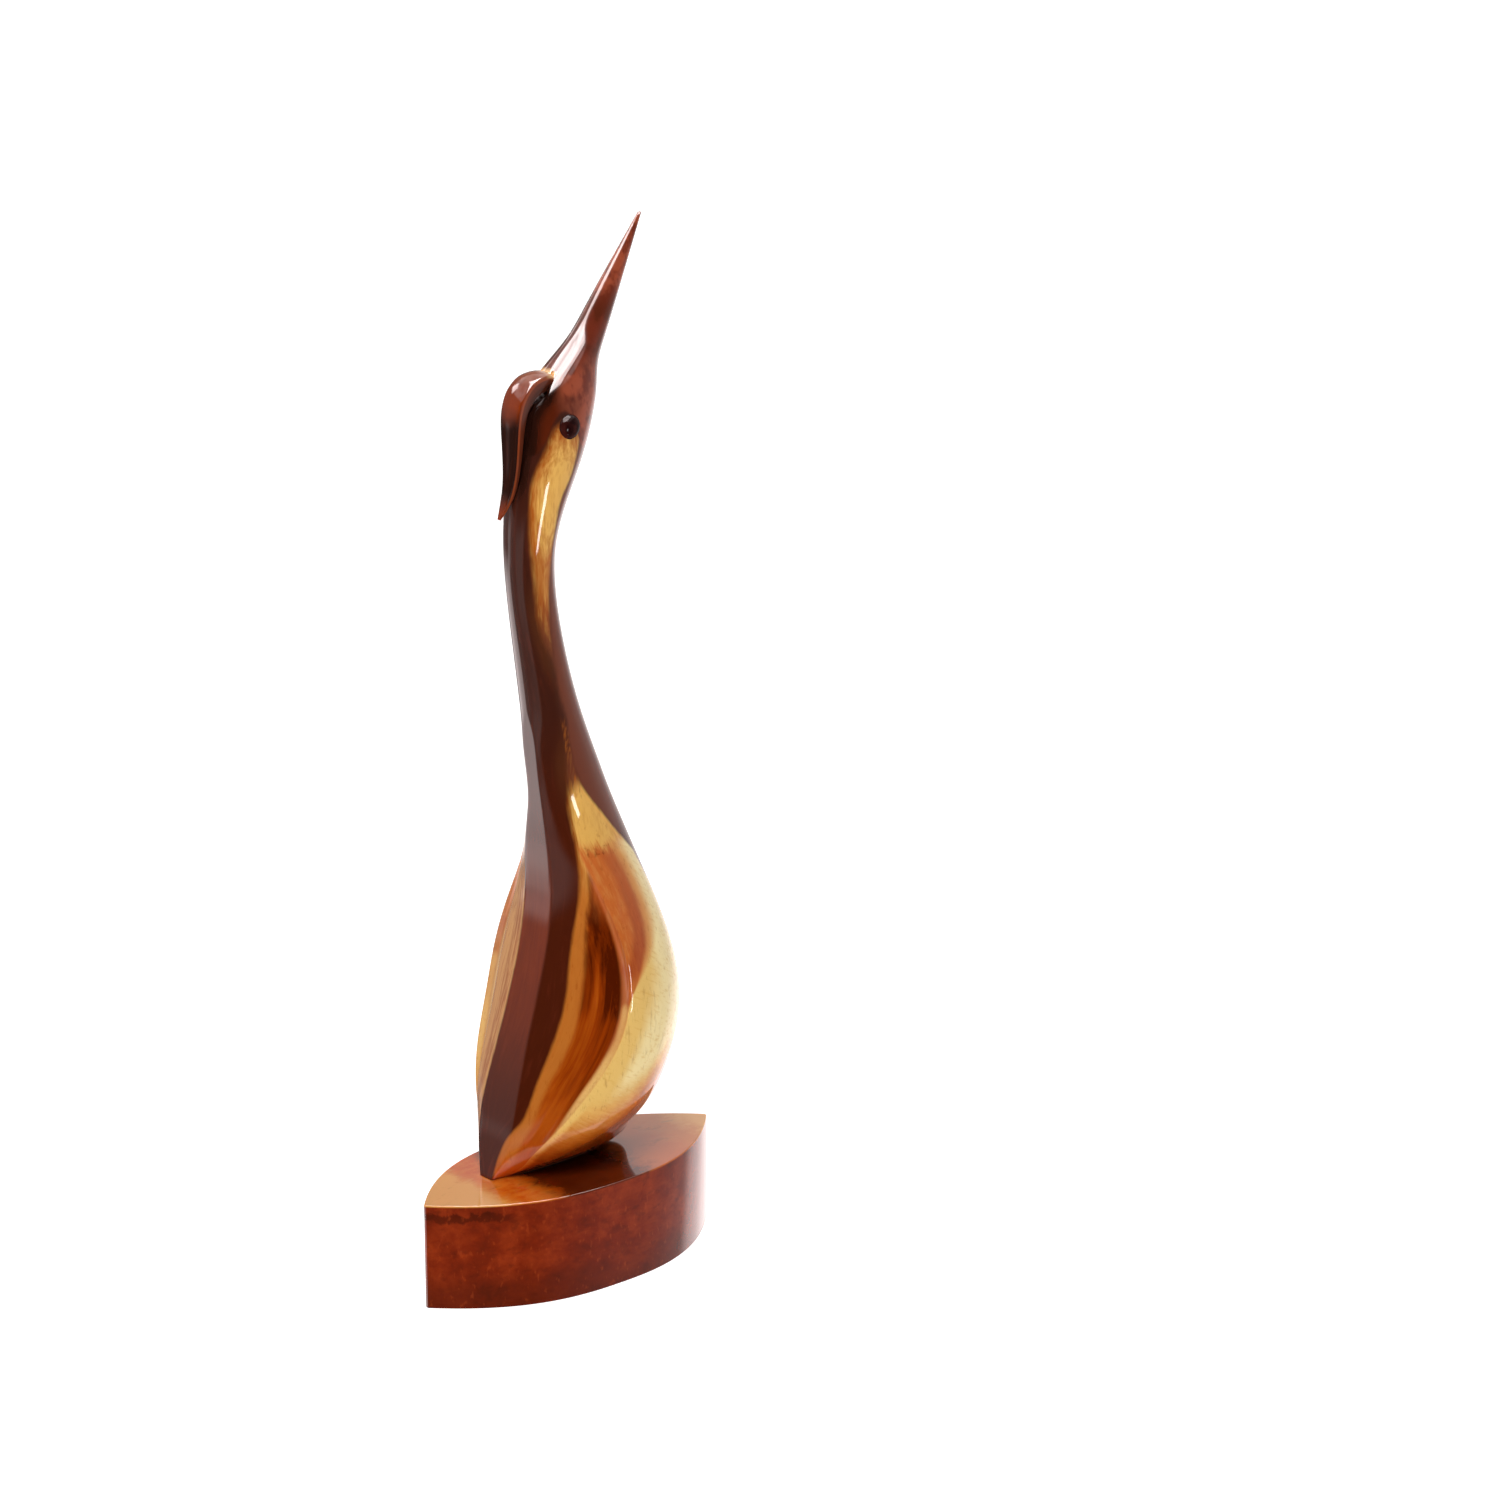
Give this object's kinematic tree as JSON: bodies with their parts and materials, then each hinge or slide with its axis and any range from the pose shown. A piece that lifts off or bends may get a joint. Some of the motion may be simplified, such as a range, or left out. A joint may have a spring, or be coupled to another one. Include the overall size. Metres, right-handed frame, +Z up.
{
  "type": "crane carving",
  "caption": "Slender stylised crane in polished two-tone wood, long neck and beak raised, drooping crest and hollowed wings, standing on a lens-shaped block.",
  "frame": {"origin": "on the underside of the block, in the middle of the whole part's box, below the bird's middle plane", "axes": "+X the way the bird faces, +Z up from the block to the beak, +Y to the bird's left"},
  "size_m": [0.105, 0.0642, 0.305],
  "materials": {
    "carved_wood": "gloss",
    "block_wood": "gloss",
    "eye_bead": "gloss"
  },
  "bodies": {
    "root": {"bird": "carved_wood", "base_block": "block_wood", "eye_right": "eye_bead", "eye_left": "eye_bead"}
  },
  "joints": []
}
